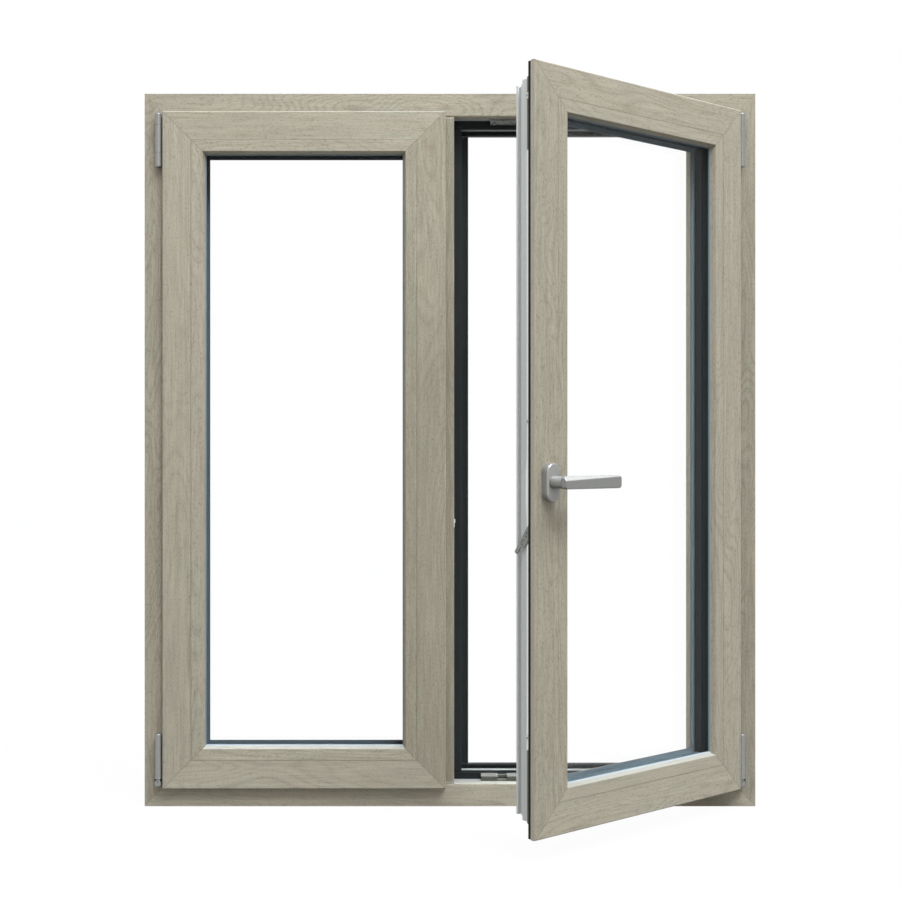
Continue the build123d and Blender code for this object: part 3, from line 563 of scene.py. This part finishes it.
# chrome on zinc, polished: sharp glints over grey, and painted dark where it looks up: a painted reflection
# of the hinge above and painted shade in the notches
bearing_chrome = plain_finish(
    "polished_chrome_plate", "868A8B", "8F9394", 300, 0.12, above="151616", turns=(0.08, 0.3), Metallic=0.9
)
# bright zinc on rolled steel: a pale strip beside the black seal
rail_zinc = plain_finish("bright_zinc_plated_steel", "DADDDD", "E4E6E6", 500, 0.34, Metallic=0.8)
# dull zinc on pressed steel: greyer than the strip
drive_zinc = plain_finish("dull_zinc_plated_steel", "6E7371", "7B7E78", 500, 0.4, Metallic=0.5)
# die-cast zinc, tumbled: dark olive grey, with a painted highlight on its upper faces
striker_zinc = plain_finish(
    "tumbled_die_cast_zinc", "47483F", "565750", 400, 0.25, above="93938B", turns=(0.3, 1), Metallic=0.3
)
# bright zinc on turned steel: pale rings against the duller drives
cam_zinc = plain_finish("bright_zinc_turned_steel", "C2C5C5", "D0D2D2", 500, 0.3, Metallic=0.8)
# die-cast zinc, plain: a mid grey lever
lifter_zinc = plain_finish("plain_die_cast_zinc", "878A85", "92958F", 500, 0.38, Metallic=0.4)
# acetal: smooth and off-white
lever_acetal = plain_finish("moulded_white_acetal", "D6D3CA", "DCD9D1", 700, 0.4, IOR=1.48)
# moulded cap in the foil's colour
cap_plastic = plain_finish("moulded_beige_cap", "A39B88", "ABA391", 700, 0.55, IOR=1.5)

# float glass: clear, with an IOR below the real 1.5 so that its mirror is as faint as in the photo
glass, _, _ = new_finish(
    "clear_float_glass",
    Base_Color=WHITE,
    Roughness=0,
    IOR=1.15,
    Transmission_Weight=1,
)

for name in ("frame_seals", "mullion_seals"):
    dress(name, frame_rubber)
for leaf, edges in (("passive", passive_edges), ("active", active_edges)):
    dress(f"{leaf}_seals", leaf_seal_finish(f"extruded_{leaf}_seals", edges))
    dress(f"{leaf}_glass_panes", glass)
    # clear panes cast no shadow, so that daylight reaches the spacers and the bevels behind them
    nodes[f"{leaf}_glass_panes"].visible_shadow = False
    dress(f"{leaf}_top_hinge", hinge_lacquer)
    dress(f"{leaf}_bottom_hinge", hinge_lacquer)
for finish, names in (
    (shut_spacer, ("passive_glass_spacers",)),
    (open_spacer, ("active_glass_spacers",)),
    (bearing_chrome, ("hinge_bearings",)),
    (cap_plastic, ("mullion_end_caps",)),
    (rosette_lacquer, ("handle_rosette",)),
    (handle_lacquer, ("handle_lever",)),
    (rail_zinc, ("espagnolette_rail", "mullion_strikers")),
    (drive_zinc, ("corner_drives", "head_striker")),
    (cam_zinc, ("roller_cams",)),
    (lifter_zinc, ("lifter_lever",)),
    (striker_zinc, ("sill_striker",)),
    (lever_acetal, ("mullion_lever",)),
):
    for name in names:
        dress(name, finish)

# Floor: plain and pale, with the window's shadow on it
floor_mesh = bpy.data.meshes.new("floor")
build = bmesh.new()
bmesh.ops.create_grid(build, x_segments=1, y_segments=1, size=30)
build.to_mesh(floor_mesh)
build.free()
floor = bpy.data.objects.new("floor", floor_mesh)
bpy.context.collection.objects.link(floor)
floor.location.z = -0.5 * MM
floor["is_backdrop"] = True


def seen_directly(tree):
    """One where a ray comes from the camera, a gloss or glass, so that they see white."""
    ray = add_node(tree, "ShaderNodeLightPath").outputs
    seen = add_node(
        tree, "ShaderNodeMath", {0: ray["Is Camera Ray"], 1: ray["Is Glossy Ray"]}, operation="MAXIMUM"
    )
    return add_node(tree, "ShaderNodeMath", {0: seen, 1: ray["Is Transmission Ray"]}, operation="MAXIMUM")


# matt grey towards the window; the camera sees it just white, and less so in the shadow
floor_paint = bpy.data.materials.new("pale_floor")
floor_paint.use_nodes = True
tree = floor_paint.node_tree
tree.nodes.clear()
glow = add_node(tree, "ShaderNodeEmission", {"Color": WHITE, "Strength": FLOOR_GLOW})
matt = add_node(tree, "ShaderNodeBsdfDiffuse", {"Color": paint("6C6C6A")})
share = add_node(tree, "ShaderNodeMath", {0: seen_directly(tree), 1: FLOOR_GLOW_SHARE}, operation="MULTIPLY")
both = add_node(tree, "ShaderNodeMixShader", {0: share, 1: matt, 2: glow})
add_node(tree, "ShaderNodeOutputMaterial", {"Surface": both})
floor_mesh.materials.append(floor_paint)

# Sky: soft light that grows from the floor to overhead and is weaker behind the window
world = bpy.data.worlds.new("studio")
bpy.context.scene.world = world
world.use_nodes = True
tree = world.node_tree
tree.nodes.clear()
way = add_node(tree, "ShaderNodeTexCoord").outputs["Generated"]
apart = add_node(tree, "ShaderNodeSeparateXYZ", {0: way}).outputs
overhead = add_node(tree, "ShaderNodeMath", {0: apart["Z"], 1: 2}, operation="POWER")
rise = add_node(tree, "ShaderNodeMath", {0: overhead, 1: SKY_RISE, 2: 1}, operation="MULTIPLY_ADD")
behind = add_node(
    tree,
    "ShaderNodeMapRange",
    {
        "Value": apart["Y"],
        "From Min": -0.3,
        "From Max": 0.7,
        "To Min": SKY_IN_FRONT,
        "To Max": SKY_BEHIND,
    },
)
strength = add_node(tree, "ShaderNodeMath", {0: rise, 1: behind}, operation="MULTIPLY")
# cool overhead and neutral at eye level, so ledges read cooler than the faces
cool = add_node(
    tree, "ShaderNodeMixRGB", {"Fac": overhead, "Color1": WHITE, "Color2": (0.9, 0.97, 1.05, 1)}
)
light = add_node(tree, "ShaderNodeBackground", {"Color": cool, "Strength": strength})
white = add_node(tree, "ShaderNodeBackground", {"Color": WHITE, "Strength": 1})
both = add_node(tree, "ShaderNodeMixShader", {0: seen_directly(tree), 1: light, 2: white})
add_node(tree, "ShaderNodeOutputWorld", {"Surface": both})

# Lamps: two broad ones overhead, a tall strip that draws upright highlights, and a glint from the right
for name, shape, place, aim, width, height, power, tint in (
    ("overhead_left", "DISK", (-0.35, -1.15, 3.0), (-0.1, 0, 0.9), 1.8, 1.8, 24.0, (0.95, 0.98, 1.0)),
    ("overhead_right", "DISK", (1.2, -1.0, 2.9), (0.4, -0.2, 1.0), 1.4, 1.4, 16.0, (0.95, 0.98, 1.0)),
    ("tall_strip", "RECTANGLE", (0.6, -3.2, 1.1), (-0.2, 0, 0.7), 0.18, 2.0, 6.0, (1.0, 1.0, 1.0)),
    ("side_glint", "DISK", (2.2, 0.5, 2.65), (0.2, -0.4, 0.65), 1.0, 1.0, 4.0, (1.0, 1.0, 1.0)),
):
    lamp_data = bpy.data.lights.new(name, "AREA")
    lamp_data.shape = shape
    lamp_data.size = width
    if shape == "RECTANGLE":
        lamp_data.size_y = height
    lamp_data.energy = power
    lamp_data.color = tint
    lamp = bpy.data.objects.new(name, lamp_data)
    bpy.context.collection.objects.link(lamp)
    lamp.location = place
    lamp.rotation_euler = (Vector(aim) - Vector(place)).to_track_quat("-Z", "Y").to_euler()

# Daylight from high up: ledges and bevels that look up read about twice as bright as the faces
sun_data = bpy.data.lights.new("daylight", "SUN")
sun_data.energy = 2.3
sun_data.color = (0.88, 0.94, 1.0)
sun_data.angle = radians(24)
sun = bpy.data.objects.new("daylight", sun_data)
bpy.context.collection.objects.link(sun)
sun.rotation_euler = Vector((-0.3, 0.45, -0.85)).to_track_quat("-Z", "Y").to_euler()

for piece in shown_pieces():
    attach(piece, "root")
